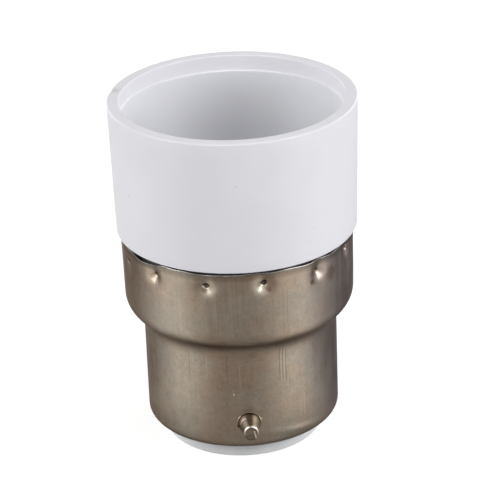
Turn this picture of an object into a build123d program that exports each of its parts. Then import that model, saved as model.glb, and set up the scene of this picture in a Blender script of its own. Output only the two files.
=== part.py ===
from build123d import *

import os
from math import cos, radians, sin, sqrt, tan

# Adapter from a bayonet lampholder to a small screw lamp cap.
# Sizes are in millimetres and angles in degrees. The adapter's axis is Z, its base rests on z = 0
# and the front bayonet pin points along -Y.

os.makedirs("parts", exist_ok=True)

# Overall sizes
overall_height = 40.5
cap_radius = 11.0

# Clearances
fit_gap = 0.05
moving_gap = 0.35

# Bayonet cap, drawn from sheet
cap_sheet = 0.35
cap_base_z = 2.0
cap_corner_radius = 0.85
shoulder_z = 14.25
shoulder_step = 2.0
shoulder_radius = 2.45
shoulder_turn = 62
collar_top_z = 24.65
collar_flare = 0.7

# Punched dimples that lock the cup in the collar, counted from the front pin
dimple_count = 13
dimple_angle = 9
dimple_drop = 1.3
dimple_radius = 0.65
dimple_depth = 0.5
dimple_play = 0.2

# Bayonet pins
pin_z = 5.5
pin_radius = 0.95
pin_reach = 2.0
pin_tip_round = 0.2
pin_root_radius = 1.2
pin_root_height = 0.12
pin_head_radius = 1.8
pin_head_height = 0.5

# Moulded insulator in the end of the cap
base_setback = 1.97
base_draft = 4.0
base_edge_round = 0.3
boss_gap = 0.3
insulator_floor_z = 4.0
insulator_wall = 2.0
pin_cover = 0.5
barrier_width = 1.2

# Contact plates with their eyelets, and the solder that fills them
contact_offset = 4.6
plate_length = 6.2
plate_width = 4.4
plate_sheet = 0.4
plate_recess = 0.3
eyelet_radius = 1.1
eyelet_bore_radius = 0.7
eyelet_collar_radius = 1.7
eyelet_collar_height = 0.3
solder_dome_radius = 1.4
solder_dome_height = 0.25
solder_plug_length = 1.2

# Moulded cup with its spigot and the tube that seats the screw shell
cup_gap = 0.75
cup_overhang = 0.63
cup_draft = 0.72
cup_foot_round = 0.4
rim_wall = 1.35
rim_round = 0.35
rim_inner_round = 0.15
rim_step_depth = 1.85
rim_step_width = 0.25
mouth_draft = 0.5
mouth_depth = 11.5
mouth_floor_thickness = 1.5
mouth_floor_round = 0.8
spigot_wall = 1.6
spigot_land = 0.2
socket_depth = 27.9
floor_thickness = 1.8
seat_wall = 1.5
seat_lead_in = 0.6
seat_gap = 0.1
well_depth = 2.3

# Rolled screw shell: its plain wall stands at the crest of the thread
thread_radius = 6.2
thread_depth = 0.8
shell_sheet = 0.3
shell_bend = 0.4
joggle_radius = 0.6
joggle_turn = 60
mouth_lip_radius = 0.8
mouth_lip_turn = 55
mouth_lip_length = 0.3
lug_width = 4.0

# Hollow rivets through the floor of the socket
rivet_inset = 1.7
rivet_radius = 0.8
rivet_bore_radius = 0.5
rivet_head_radius = 1.2
rivet_head_height = 0.5
rivet_edge_height = 0.15
rivet_tail_radius = 1.25
rivet_tail_height = 0.3

# Spring strip of the centre contact
strip_sheet = 0.4
strip_width = 2.7
strip_foot_length = 1.2
strip_hole_gap = 0.2
strip_rise = 1.35
strip_bend = 0.5
strip_arm_length = 0.9
strip_tip_length = 0.6
strip_tip_droop = 0.12
pip_radius = 0.8
pip_height = 0.2

# Wires between the rivets and the base contacts
core_radius = 0.4
sleeve_radius = 0.8
wire_slack = 2.0
wire_bend = 1.2
wire_lead = 0.65
tail_solder_radius = 1.1
tail_solder_height = 0.8

# Cap: places and radii that follow from the sizes above
cap_inner_radius = cap_radius - cap_sheet
collar_radius = cap_radius + shoulder_step
crease_radius = shoulder_step / (1 - cos(radians(shoulder_turn))) - shoulder_radius
collar_z = shoulder_z + (shoulder_radius + crease_radius) * sin(radians(shoulder_turn))
dimple_z = collar_top_z - dimple_drop
dimple_collar_radius = collar_radius + (dimple_z - collar_z) * tan(radians(collar_flare))
dimple_ball_offset = dimple_collar_radius + dimple_radius - dimple_depth
bump_radius = dimple_radius + cap_sheet

# Insulator and base contacts
base_radius = cap_radius - base_setback
flange_base_z = cap_base_z + cap_sheet + fit_gap
flange_radius = cap_inner_radius - fit_gap
boss_radius = base_radius + flange_base_z * tan(radians(base_draft))
lip_radius = boss_radius + boss_gap
insulator_bore_radius = flange_radius - insulator_wall
insulator_top_z = pin_z + pin_head_radius + pin_cover
plate_top_z = plate_recess + plate_sheet
eyelet_top_z = insulator_floor_z + fit_gap + eyelet_collar_height
solder_top_z = plate_recess + solder_plug_length

# Cup and spigot
cup_foot_z = collar_top_z + cup_gap
cup_foot_radius = collar_radius + cup_overhang
cup_rim_radius = cup_foot_radius + (overall_height - cup_foot_z) * tan(radians(cup_draft))
rim_step_radius = cup_rim_radius - rim_wall
rim_step_z = overall_height - rim_step_depth
mouth_radius = rim_step_radius - rim_step_width
mouth_floor_z = overall_height - mouth_depth
mouth_floor_radius = mouth_radius - (rim_step_z - mouth_floor_z) * tan(radians(mouth_draft))
spigot_radius = collar_radius - cap_sheet - fit_gap
spigot_nose_radius = spigot_wall - spigot_land
spigot_base_z = collar_z - spigot_nose_radius
spigot_bore_radius = spigot_radius - spigot_wall
relief_radius = dimple_ball_offset - bump_radius - fit_gap
guide_top_z = dimple_z - sqrt(bump_radius**2 - (dimple_ball_offset - spigot_radius) ** 2) - dimple_play
core_top_z = mouth_floor_z - mouth_floor_thickness

# Screw shell and its seat
floor_z = overall_height - socket_depth
floor_base_z = floor_z - floor_thickness
seat_radius = thread_radius + thread_depth + shell_sheet + seat_gap
seat_outer_radius = seat_radius + seat_wall
seat_ledge_z = floor_z + well_depth
joggle_step = 2 * joggle_radius * (1 - cos(radians(joggle_turn)))
shell_foot_radius = thread_radius - joggle_step
well_radius = shell_foot_radius + shell_sheet + seat_gap
lug_top_z = floor_z + fit_gap + shell_sheet
joggle_base_z = seat_ledge_z + fit_gap
mouth_flare_height = mouth_lip_radius * sin(radians(mouth_lip_turn))
mouth_edge_height = mouth_lip_length * cos(radians(mouth_lip_turn))
thread_top_z = mouth_floor_z - fit_gap - mouth_flare_height - mouth_edge_height

# Rivets, spring strip and wires
rivet_offset = shell_foot_radius - rivet_inset
rivet_tail_z = floor_base_z - fit_gap - rivet_tail_height
lug_inner_radius = rivet_offset - rivet_head_radius
strip_base_z = floor_z + moving_gap
strip_start_x = -rivet_offset - strip_width / 2
strip_end_x = strip_arm_length + strip_tip_length
arm_z = strip_base_z + strip_rise
arm_top_z = arm_z + strip_sheet
sleeve_top_z = rivet_tail_z - tail_solder_height - fit_gap
sleeve_base_z = eyelet_top_z + fit_gap

# Longer than any piece, for cuts that go right through, and how near two equal sizes are
beyond = 2 * overall_height
same = 0.001


def save(piece, name):
    """Label a finished piece and write it under that name."""
    piece.part.label = name
    export_step(piece.part, f"parts/{name}.step")


def ring(piece, radius, z):
    """The round edge of a piece at that radius and height."""
    circles = piece.edges().filter_by(GeomType.CIRCLE)
    at_radius = circles.filter_by(lambda edge: abs(edge.radius - radius) < same)
    return at_radius.filter_by(lambda edge: abs(edge.center().Z - z) < same)


def axis_plane(x):
    """The XZ plane with its origin on a vertical axis that stands at x."""
    return Plane(origin=(x, 0, 0), x_dir=(1, 0, 0), z_dir=(0, -1, 0))


def vertical_axis(x):
    """The vertical axis that stands at x."""
    return Axis((x, 0, 0), (0, 0, 1))


def pin_plane(facing, distance):
    """The plane across a bayonet pin, at that distance from the adapter's axis."""
    return Plane(origin=(0, facing * distance, pin_z), x_dir=(1, 0, 0), z_dir=(0, facing, 0))


# White cup, spigot and seat tube, moulded as one and cored from below
with BuildPart() as socket_body:
    with BuildSketch(Plane.XZ):
        with BuildLine():
            Polyline(
                (0, floor_base_z),
                (seat_outer_radius, floor_base_z),
                (seat_outer_radius, core_top_z),
                (spigot_bore_radius, core_top_z),
                (spigot_bore_radius, spigot_base_z),
                (spigot_radius, spigot_base_z),
                (spigot_radius, guide_top_z),
                (relief_radius, guide_top_z),
                (relief_radius, cup_foot_z),
                (cup_foot_radius, cup_foot_z),
                (cup_rim_radius, overall_height),
                (rim_step_radius, overall_height),
                (rim_step_radius, rim_step_z),
                (mouth_radius, rim_step_z),
                (mouth_floor_radius, mouth_floor_z),
                (seat_radius + seat_lead_in, mouth_floor_z),
                (seat_radius, mouth_floor_z - seat_lead_in),
                (seat_radius, seat_ledge_z),
                (well_radius, seat_ledge_z),
                (well_radius, floor_z),
                (0, floor_z),
                close=True,
            )
        make_face()
    revolve(axis=Axis.Z)
    fillet(ring(socket_body, cup_rim_radius, overall_height), radius=rim_round)
    fillet(ring(socket_body, rim_step_radius, overall_height), radius=rim_inner_round)
    fillet(ring(socket_body, cup_foot_radius, cup_foot_z), radius=cup_foot_round)
    fillet(ring(socket_body, mouth_floor_radius, mouth_floor_z), radius=mouth_floor_round)
    fillet(ring(socket_body, spigot_radius, spigot_base_z), radius=spigot_nose_radius)
    with BuildSketch(Plane.XY.offset(floor_base_z)):
        with Locations((-rivet_offset, 0), (rivet_offset, 0)):
            Circle(rivet_radius + fit_gap)
    extrude(amount=floor_thickness, mode=Mode.SUBTRACT)
save(socket_body, "socket_body")

# Drawn bayonet cap: the dimples keep the sheet's thickness, as punched metal does
with BuildPart() as cap_shell:
    with Locations((0, 0, dimple_z)):
        with PolarLocations(dimple_ball_offset, dimple_count, start_angle=dimple_angle - 90):
            Sphere(bump_radius)
        Cylinder(dimple_collar_radius - cap_sheet / 2, beyond, mode=Mode.INTERSECT)
    with BuildSketch(Plane.XZ):
        with BuildLine():
            lip = Line((lip_radius, cap_base_z), (cap_radius - cap_corner_radius, cap_base_z))
            corner = JernArc(lip @ 1, lip % 1, cap_corner_radius, 90)
            wall = Line(corner @ 1, (cap_radius, shoulder_z))
            crease = JernArc(wall @ 1, wall % 1, crease_radius, -shoulder_turn)
            shoulder = JernArc(crease @ 1, crease % 1, shoulder_radius, shoulder_turn - collar_flare)
            collar_length = (collar_top_z - (shoulder @ 1).Y) / cos(radians(collar_flare))
            Line(shoulder @ 1, shoulder @ 1 + shoulder % 1 * collar_length)
            offset(amount=cap_sheet, side=Side.LEFT)
        make_face()
    revolve(axis=Axis.Z)
    with Locations((0, 0, dimple_z)):
        with PolarLocations(dimple_ball_offset, dimple_count, start_angle=dimple_angle - 90):
            Sphere(dimple_radius, mode=Mode.SUBTRACT)
    with BuildSketch(Plane.XZ):
        with Locations((0, pin_z)):
            Circle(pin_root_radius + fit_gap)
    extrude(amount=beyond, both=True, mode=Mode.SUBTRACT)
save(cap_shell, "cap_shell")

# Bayonet pins, each with a head that bears on the inside of the cap
for side_name, facing in (("front", -1), ("rear", 1)):
    head_base = flange_radius - pin_head_height
    root_end = cap_radius + pin_root_height
    tip = cap_radius + pin_reach
    with BuildPart() as bayonet_pin:
        with BuildSketch(pin_plane(facing, head_base)):
            Circle(pin_head_radius)
        extrude(amount=2 * pin_head_height)
        Cylinder(flange_radius, beyond, mode=Mode.INTERSECT)
        with BuildSketch(pin_plane(facing, head_base)):
            Circle(pin_root_radius)
        extrude(amount=root_end - head_base)
        with BuildSketch(pin_plane(facing, root_end)):
            Circle(pin_radius)
        extrude(amount=tip - root_end)
        tip_face = bayonet_pin.faces().sort_by(Axis((0, 0, pin_z), (0, facing, 0)))[-1]
        fillet(tip_face.edges(), radius=pin_tip_round)
    save(bayonet_pin, f"bayonet_pin_{side_name}")

# Insulator cup: its flange lies on the cap's turned-in lip and its boss stands out below the metal
with BuildPart() as base_insulator:
    with BuildSketch(Plane.XZ):
        with BuildLine():
            Polyline(
                (0, 0),
                (base_radius, 0),
                (boss_radius, flange_base_z),
                (flange_radius, flange_base_z),
                (flange_radius, insulator_top_z),
                (insulator_bore_radius, insulator_top_z),
                (insulator_bore_radius, insulator_floor_z),
                (0, insulator_floor_z),
                close=True,
            )
        make_face()
    revolve(axis=Axis.Z)
    fillet(ring(base_insulator, base_radius, 0), radius=base_edge_round)
    fillet(ring(base_insulator, flange_radius, flange_base_z), radius=cap_corner_radius - cap_sheet)
    with BuildSketch(Plane.XY.offset(insulator_floor_z)):
        Rectangle(barrier_width, 2 * insulator_bore_radius)
    extrude(amount=insulator_top_z - insulator_floor_z)
    with BuildSketch(Plane.XY):
        with Locations((-contact_offset, 0), (contact_offset, 0)):
            SlotOverall(plate_length + 2 * fit_gap, plate_width + 2 * fit_gap, rotation=90)
    extrude(amount=plate_top_z + fit_gap, mode=Mode.SUBTRACT)
    with BuildSketch(Plane.XY):
        with Locations((-contact_offset, 0), (contact_offset, 0)):
            Circle(eyelet_radius + fit_gap)
    extrude(amount=insulator_floor_z, mode=Mode.SUBTRACT)
    for facing in (-1, 1):
        with BuildSketch(pin_plane(facing, insulator_bore_radius)):
            Circle(pin_head_radius + fit_gap)
        extrude(amount=cap_radius - insulator_bore_radius, mode=Mode.SUBTRACT)
save(base_insulator, "base_insulator")

# Contact plates, each with an eyelet rolled over inside the insulator, and the solder in it
for side_name, side in (("left", -1), ("right", 1)):
    contact_x = side * contact_offset
    with BuildPart() as base_contact:
        with BuildSketch(Plane.XY.offset(plate_recess)):
            with Locations((contact_x, 0)):
                SlotOverall(plate_length, plate_width, rotation=90)
        extrude(amount=plate_sheet)
        with BuildSketch(Plane.XY.offset(plate_top_z)):
            with Locations((contact_x, 0)):
                Circle(eyelet_radius)
        extrude(amount=eyelet_top_z - plate_top_z)
        with BuildSketch(Plane.XY.offset(insulator_floor_z + fit_gap)):
            with Locations((contact_x, 0)):
                Circle(eyelet_collar_radius)
        extrude(amount=eyelet_collar_height)
        fillet(base_contact.faces().sort_by(Axis.Z)[-1].edges(), radius=eyelet_collar_height / 2)
        with BuildSketch(Plane.XY.offset(plate_recess)):
            with Locations((contact_x, 0)):
                Circle(eyelet_bore_radius)
        extrude(amount=eyelet_top_z - plate_recess, mode=Mode.SUBTRACT)
    save(base_contact, f"base_contact_{side_name}")

    with BuildPart() as base_solder:
        with BuildSketch(axis_plane(contact_x)):
            with BuildLine():
                dome = TangentArc(
                    (0, plate_recess - solder_dome_height),
                    (solder_dome_radius, plate_recess),
                    tangent=(1, 0),
                )
                Polyline(
                    dome @ 1,
                    (eyelet_bore_radius - fit_gap, plate_recess),
                    (eyelet_bore_radius - fit_gap, solder_top_z),
                    (0, solder_top_z),
                    dome @ 0,
                )
            make_face()
        revolve(axis=vertical_axis(contact_x))
    save(base_solder, f"base_solder_{side_name}")

# Screw shell: sleeve with a flared mouth, and one lug led down to the floor for its rivet
with BuildPart() as screw_shell:
    with BuildSketch(Plane.XZ):
        with BuildLine():
            lug = Line((lug_inner_radius, lug_top_z), (shell_foot_radius - shell_bend, lug_top_z))
            bend = JernArc(lug @ 1, lug % 1, shell_bend, 90)
            strap = Line(bend @ 1, (shell_foot_radius, joggle_base_z))
            joggle_out = JernArc(strap @ 1, strap % 1, joggle_radius, -joggle_turn)
            joggle_up = JernArc(joggle_out @ 1, joggle_out % 1, joggle_radius, joggle_turn)
            sleeve = Line(joggle_up @ 1, (thread_radius, thread_top_z))
            flare = JernArc(sleeve @ 1, sleeve % 1, mouth_lip_radius, -mouth_lip_turn)
            Line(flare @ 1, flare @ 1 + flare % 1 * mouth_lip_length)
            offset(amount=shell_sheet, side=Side.RIGHT)
        make_face()
    revolve(axis=Axis.Z)
    with BuildSketch(Plane.XY.offset(floor_z)):
        Circle(seat_radius)
        with Locations((seat_radius / 2, 0)):
            Rectangle(seat_radius, lug_width, mode=Mode.SUBTRACT)
    extrude(amount=joggle_base_z - floor_z, mode=Mode.SUBTRACT)
    with BuildSketch(Plane.XY.offset(floor_z)):
        with Locations((rivet_offset, 0)):
            Circle(rivet_radius + fit_gap)
    extrude(amount=well_depth, mode=Mode.SUBTRACT)
save(screw_shell, "screw_shell")

# Spring strip: a foot under its rivet, a rise, and an arm over the middle with a raised contact pip
with BuildPart() as centre_contact:
    with BuildSketch(Plane.XZ):
        with BuildLine():
            FilletPolyline(
                (strip_start_x, strip_base_z),
                (strip_foot_length - rivet_offset, strip_base_z),
                (-strip_arm_length, arm_z),
                (strip_arm_length, arm_z),
                (strip_end_x, arm_z - strip_tip_droop),
                radius=strip_bend,
            )
            offset(amount=strip_sheet, side=Side.LEFT)
        make_face()
    extrude(amount=strip_width / 2, both=True)
    with BuildSketch(Plane.XY.offset(strip_base_z)):
        with Locations(((strip_start_x + strip_end_x) / 2, 0)):
            SlotOverall(strip_end_x - strip_start_x, strip_width)
    extrude(amount=arm_top_z - strip_base_z, mode=Mode.INTERSECT)
    with BuildSketch(Plane.XY.offset(strip_base_z)):
        with Locations((-rivet_offset, 0)):
            Circle(rivet_radius + strip_hole_gap)
    extrude(amount=strip_sheet, mode=Mode.SUBTRACT)
    with BuildSketch(Plane.XZ):
        with BuildLine():
            pip = TangentArc((0, arm_top_z + pip_height), (pip_radius, arm_top_z), tangent=(1, 0))
            Polyline(pip @ 1, (0, arm_top_z), pip @ 0)
        make_face()
    revolve(axis=Axis.Z)
save(centre_contact, "centre_contact")

# The centre contact's circuit is on the left, the screw shell's on the right
circuits = (
    ("centre", -1, strip_base_z + strip_sheet + moving_gap),
    ("shell", 1, lug_top_z + fit_gap),
)
for circuit, side, head_z in circuits:
    rivet_x = side * rivet_offset
    contact_x = side * contact_offset

    # Hollow rivet, closed at its head and rolled over under the floor
    with BuildPart() as rivet:
        with BuildSketch(axis_plane(rivet_x)):
            with BuildLine():
                head = TangentArc(
                    (0, head_z + rivet_head_height),
                    (rivet_head_radius, head_z + rivet_edge_height),
                    tangent=(1, 0),
                )
                Polyline(
                    head @ 1,
                    (rivet_head_radius, head_z),
                    (rivet_radius, head_z),
                    (rivet_radius, floor_base_z - fit_gap),
                    (rivet_tail_radius, floor_base_z - fit_gap),
                    (rivet_tail_radius, rivet_tail_z),
                    (rivet_bore_radius, rivet_tail_z),
                    (rivet_bore_radius, floor_z),
                    (0, floor_z),
                    head @ 0,
                )
            make_face()
        revolve(axis=vertical_axis(rivet_x))
    save(rivet, f"{circuit}_rivet")

    # Solder cone that joins the wire to the rivet's tail
    with BuildPart() as tail_solder:
        with BuildSketch(axis_plane(rivet_x)):
            with BuildLine():
                Polyline(
                    (core_radius + fit_gap, rivet_tail_z),
                    (tail_solder_radius, rivet_tail_z),
                    (sleeve_radius, rivet_tail_z - tail_solder_height),
                    (core_radius + fit_gap, rivet_tail_z - tail_solder_height),
                    close=True,
                )
            make_face()
        revolve(axis=vertical_axis(rivet_x))
    save(tail_solder, f"{circuit}_solder")

    # Insulated wire with a loop of slack, bared at both ends
    top_turn = (rivet_x, 0, sleeve_top_z - wire_lead)
    slack_turn = ((rivet_x + contact_x) / 2, side * wire_slack, (sleeve_top_z + sleeve_base_z) / 2)
    bottom_turn = (contact_x, 0, sleeve_base_z + wire_lead)
    core_top = (rivet_x, 0, floor_z - floor_thickness / 2)
    core_base = (contact_x, 0, solder_top_z + fit_gap)
    with BuildPart() as wire_core:
        with BuildLine() as core_route:
            FilletPolyline(core_top, top_turn, slack_turn, bottom_turn, core_base, radius=wire_bend)
        with BuildSketch(Plane(core_route.line @ 0, z_dir=core_route.line % 0)):
            Circle(core_radius)
        sweep()
    save(wire_core, f"{circuit}_wire_core")

    sleeve_top = (rivet_x, 0, sleeve_top_z)
    sleeve_base = (contact_x, 0, sleeve_base_z)
    with BuildPart() as wire_sleeve:
        with BuildLine() as sleeve_route:
            FilletPolyline(sleeve_top, top_turn, slack_turn, bottom_turn, sleeve_base, radius=wire_bend)
        with BuildSketch(Plane(sleeve_route.line @ 0, z_dir=sleeve_route.line % 0)):
            Circle(sleeve_radius)
            Circle(core_radius + fit_gap, mode=Mode.SUBTRACT)
        sweep()
    save(wire_sleeve, f"{circuit}_wire_sleeve")
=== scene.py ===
from math import cos, pi, radians, sin, tan

import bpy
import numpy as np
from mathutils import Matrix, Vector


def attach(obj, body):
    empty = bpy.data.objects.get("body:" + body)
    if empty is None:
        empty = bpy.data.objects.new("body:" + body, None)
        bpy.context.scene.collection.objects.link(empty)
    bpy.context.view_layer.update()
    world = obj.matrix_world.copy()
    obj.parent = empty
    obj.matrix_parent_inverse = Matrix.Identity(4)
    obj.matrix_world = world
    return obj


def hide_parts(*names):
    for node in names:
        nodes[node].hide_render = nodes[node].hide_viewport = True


# The adapter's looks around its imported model. Lengths are in millimetres, and MM turns them into metres.
# Angles round the adapter's axis are in degrees, counted from the front pin (-Y) towards +X. Colours are
# linear red, green and blue.

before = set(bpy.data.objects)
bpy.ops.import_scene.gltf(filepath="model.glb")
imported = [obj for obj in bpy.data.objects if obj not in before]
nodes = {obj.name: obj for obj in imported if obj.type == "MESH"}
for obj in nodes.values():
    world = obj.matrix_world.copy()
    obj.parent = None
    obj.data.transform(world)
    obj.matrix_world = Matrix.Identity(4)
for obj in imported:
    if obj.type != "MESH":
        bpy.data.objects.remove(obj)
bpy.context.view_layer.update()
scene = bpy.context.scene
MM = 0.001
ADAPTER = "adapter"
# The way along Y that the front and the rear pin point
FACINGS = (-1, 1)

# Bayonet cap, from its turned-in lip to the edge of its collar
CAP_RADIUS = 11.0
CAP_SHEET = 0.35
CAP_BASE_Z = 2.1
CAP_CORNER = 0.85
LIP_RADIUS = 9.5
SHOULDER_Z = 13.2
SHOULDER_STEP = 2.0
SHOULDER_RADIUS = 2.5
SHOULDER_TURN = 49
CREASE_Z = 16.0
COLLAR_RADIUS = 13.07
COLLAR_FLARE = 0.7
COLLAR_TOP_Z = 24.65
COLLAR_EDGE = 0.14
COLLAR_EDGE_TURN = 80
# Distance along the sheet from the lip's edge, less the height there, on the cap's straight wall
SHEET_START = CAP_RADIUS - CAP_CORNER - LIP_RADIUS + CAP_CORNER * pi / 2 - CAP_BASE_Z - CAP_CORNER

# Faint raised line above the cap's lower corner, and how far it falls in each degree to the right
RIDGE_ANGLE = 31
RIDGE_SPREAD = 16
RIDGE_Z = 3.5
RIDGE_FALL = 0.02
RIDGE_WIDTH = 0.35
RIDGE_RISE = 0.1

# Punched dimples, each one an uneven crater in a dish
DIMPLE_COUNT = 13
DIMPLE_ANGLE = 9.0
DIMPLE_Z = 23.35
CRATER_RADIUS = 0.38
CRATER_FLAT = 0.16
CRATER_DEPTH = 0.26
CRATER_OVAL = 0.12
CRATER_LOBES = 0.06
DISH_RADIUS = 0.8
DISH_DEPTH = 0.48
DISH_DROP = 0.12
PUNCH_SEED = 7
# From the dimple right of the front pin on, how far the punch missed its mark to the right and up, how far
# it leaned to the right, and how deep it went
DIMPLE_DRIFT = (
    (0.13, 0.2, -0.16, 1.15), (0.45, 0.1, 0.16, 1), (0.1, 0.48, -0.1, 0.7), (-0.15, 0.1, 0.1, 1.1),
    (0.2, -0.1, -0.05, 0.95), (0, 0.15, 0.1, 1), (-0.25, 0.05, -0.12, 1.1), (0.1, -0.12, 0, 0.9),
    (0.3, 0, 0.12, 1.05), (-0.1, 0.2, -0.1, 1), (0.25, -0.4, 0.05, 0.35), (-0.3, 0.1, -0.16, 1),
    (-0.13, 0.05, 0.12, 0.85),
)

# Heights between which the collar's wall starts to be uneven
UNEVEN_Z = (SHOULDER_Z + 3.4, SHOULDER_Z + 5.2)
# Waves in it, full from the second height up: waves in a turn, size, start in radians
WALL_WAVES = ((9, 0.02, 0.5), (17, 0.022, 2.1), (23, 0.016, 4.0))
WALL_WAVES_Z = (19.5, 23.5)
# Waves in the height of its top edge, which the wall follows above that height
EDGE_WAVES = ((5, 0.03, 2.0), (11, 0.02, 0.4))
EDGE_WAVES_Z = DIMPLE_Z + 0.3
# Places where the edge was pushed up or down: angle, half width in degrees, lift
EDGE_LIFTS = (
    (-59, 7, -0.2), (-42, 4.5, 0.3), (-32, 8, 0.32), (-12, 10, 0.27), (4, 8, 0.28), (22, 10, 0.32),
    (40, 7, 0.22), (58, 9, 0.3), (75, 9, 0.25), (100, 14, 0.1), (128, 12, 0.2), (158, 14, 0.12),
    (186, 12, 0.22), (-146, 13, 0.14), (-118, 12, 0.2), (-86, 10, 0.2),
)

# Scratches along the draw: angle, lowest and highest z, half width, strength
SCRATCHES = (
    (-35.2, 10.1, 13.9, 0.05, 0.6), (-33.6, 10.6, 13.6, 0.04, 0.35), (-11.8, 10, 14.4, 0.045, 0.4),
    (19.2, 9.8, 15, 0.055, 0.7), (21.2, 9.9, 15, 0.05, 0.65), (23.2, 9.6, 14.8, 0.05, 0.6),
    (25.4, 8, 14, 0.04, 0.3), (18.4, 17, 23.8, 0.04, 0.4), (20.6, 17.5, 23.5, 0.035, 0.35),
    (-17.4, 17, 22, 0.035, 0.3), (2.5, 10.4, 13, 0.035, 0.3), (59, 5, 12, 0.05, 0.35),
    (-61, 7, 14, 0.05, 0.3), (128, 5.5, 13, 0.05, 0.4), (201, 7, 22, 0.045, 0.4),
    (206, 16, 23, 0.04, 0.35), (262, 8, 14, 0.05, 0.4),
)
# The same where the plating was rubbed bright
GLEAMS = (
    (-4.5, 9.5, 13, 0.05, 0.45), (-24, 10.5, 14, 0.06, 0.3), (20.2, 10, 14.6, 0.05, 0.4),
    (22.2, 10, 14.6, 0.05, 0.4), (33, 4.5, 7.5, 0.08, 0.25), (35.5, 4.5, 8, 0.07, 0.25),
    (-14.5, 17, 22.5, 0.05, 0.25), (140, 6, 12.5, 0.06, 0.3), (230, 17, 22, 0.05, 0.3),
)
# How far such a line fades at its lower and its upper end, and the share of its width that is full
LINE_FADE_LOW = 0.8
LINE_FADE_HIGH = 0.5
LINE_CORE = 0.25

# Tarnish on the plating: pattern, where its layer starts and where it is full, strength, colour
TARNISH = (
    ("blotch", 0.5, 0.72, 0.45, (0.25, 0.205, 0.165)),
    ("blotch", 0.48, 0.3, 0.4, (0.44, 0.39, 0.33)),
    ("broad", 0.4, 0.7, 0.3, (0.41, 0.365, 0.31)),
    ("grain", 0.5, 0.75, 0.5, (0.22, 0.185, 0.15)),
    ("grain", 0.48, 0.25, 0.45, (0.47, 0.42, 0.36)),
    ("streak", 0.56, 0.75, 0.35, (0.2, 0.165, 0.13)),
)
# Brown stains on the collar: angle, z, inner and outer size, strength
STAINS = (
    (11.1, 22.95, 0.2, 0.62, 0.95), (47.5, 22.5, 0.3, 1.3, 0.5), (35, 22.4, 0.12, 0.5, 0.8),
    (66.5, 23.6, 0.1, 0.6, 0.6), (-20, 22.85, 0.12, 0.5, 0.9), (11.9, 16.9, 0.04, 0.22, 0.8),
    (122, 22.8, 0.2, 0.9, 0.5), (231, 22.2, 0.2, 1, 0.4),
)
# Painted shade over the top of a pin hole, painted shadow in the gap at its left edge, and a rubbed place.
# Round a pin, from outside: right, up, inner and outer size, strength, colour
PIN_MARKS = (
    (0, 1.3, 0.3, 1.2, 0.4, (0.2, 0.15, 0.1)),
    (-1.25, -0.3, 0.08, 0.24, 1, (0.04, 0.025, 0.015)),
    (1.22, 0.38, 0.14, 0.36, 1, (0.74, 0.67, 0.46)),
)
# Bright fleck on the cap's wall: angle, z, then its inner and outer size
FLECK = (-8.4, 9.1)
FLECK_SIZE = (0.05, 0.13)
# Painted shade in the bottom of a crater: how far above the crater's middle, inner and outer size, strength
CRATER_SHADE = (0.05, 0.26, 0.42, 0.85)
# Distances from the collar's edge, along the sheet, where a dark band and the bare edge start and are full
DARK_BAND = (0.8, 0.35)
BARE_EDGE = (0.26, 0.14)
# The same from the middle of the crease under the shoulder, for the painted shade there
PAINTED_CREASE_SHADE = (1.9, 0.2)
# Places along X between which the plating turns cooler, on the right
COOL_SIDE = (5.5, 10.5)

# Bayonet pins. From outside, the tip leans to the right and sags, and its lower half is drawn out downwards
PIN_Z = 5.4
PIN_HOLE = 1.28
PIN_HOLE_WEAR = 1.04
PIN_ROOT = 1.27
PIN_BACK = CAP_RADIUS - 0.7
PIN_TIP = 13.0
PIN_TIP_RADIUS = 0.81
PIN_LEAN = 0.1
PIN_SAG = 0.14
PIN_ROOT_SAG = 0.2
PIN_DROOP = 0.3
# Outline along a pin's own axis: radius, distance from the adapter's axis, round
PIN_OUTLINE = (
    (0, PIN_BACK, 0), (PIN_ROOT, PIN_BACK, 0), (PIN_ROOT, CAP_RADIUS - 0.05, 0.1),
    (PIN_ROOT - 0.14, CAP_RADIUS + 0.3, 0.6), (PIN_TIP_RADIUS + 0.03, PIN_TIP - 0.6, 0.5),
    (PIN_TIP_RADIUS, PIN_TIP, 0.22), (0, PIN_TIP, 0),
)
# End of a pin: the part that is sunk, by how much, and the deeper dish within two radii
END_LENGTH = 0.25
END_SUNK = 0.03
END_DISH = 0.05
END_DISH_RADII = (0.62, 0.42)
# Burr that the cutter left across the end to the lower right, the share of its height where it starts, and
# the painted highlights along it
BURR_START = 0.3
BURR_RISE = 0.12
BURR_ACROSS = 0.24
BURR_DOWN = 0.76
BURR_WIDTH = 0.06
BURR_LOW = 0.3
BURR_SPOTS = 9
# Painted highlight in an arc near the root: angles from the right round to the left, radius, distance from
# the adapter's axis
GLINT_ANGLES = (118, 130, 142, 154, 166)
GLINT_RADIUS = 1.06
GLINT_OUT = 11.5
# Inner and outer size of each painted highlight along the burr and the arc
HIGHLIGHT_SIZE = (0.06, 0.14)
# Painted highlight on the rim of the end, where it starts and is full: along the pin, from the end's middle,
# up, in its gap
RIM_ALONG = (PIN_TIP - 0.4, PIN_TIP - 0.2)
RIM_RADII = (0.66, 0.76)
RIM_UP = (-0.65, -0.25)
RIM_GAP = (0.04, 0.2)
RIM_GAP_LEVEL = 0.25
# Painted shade on the underside of the end and on the root, in the same way
UNDER_SHADE_ALONG = (PIN_TIP - 0.45, PIN_TIP - 0.25)
UNDER_SHADE_UP = (-0.25, -0.65)
ROOT_SHADE_ALONG = (CAP_RADIUS + 0.3, CAP_RADIUS + 0.05)
# Painted dark reflection along the top: to either side and up. The flank towards -X gets painted shade too
TOP_REFLECTION_ASIDE = (0.5, 0.1)
TOP_REFLECTION_UP = (0.1, 0.6)
FLANK_SHADE = (0.0, -0.8)
# Raised edge of a pin hole, and its two ragged places: radians from the right, half width, height
HOLE_EDGE = 0.012
HOLE_BURRS = ((2.7, 0.3, 0.05), (0.3, 0.22, 0.07))
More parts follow.
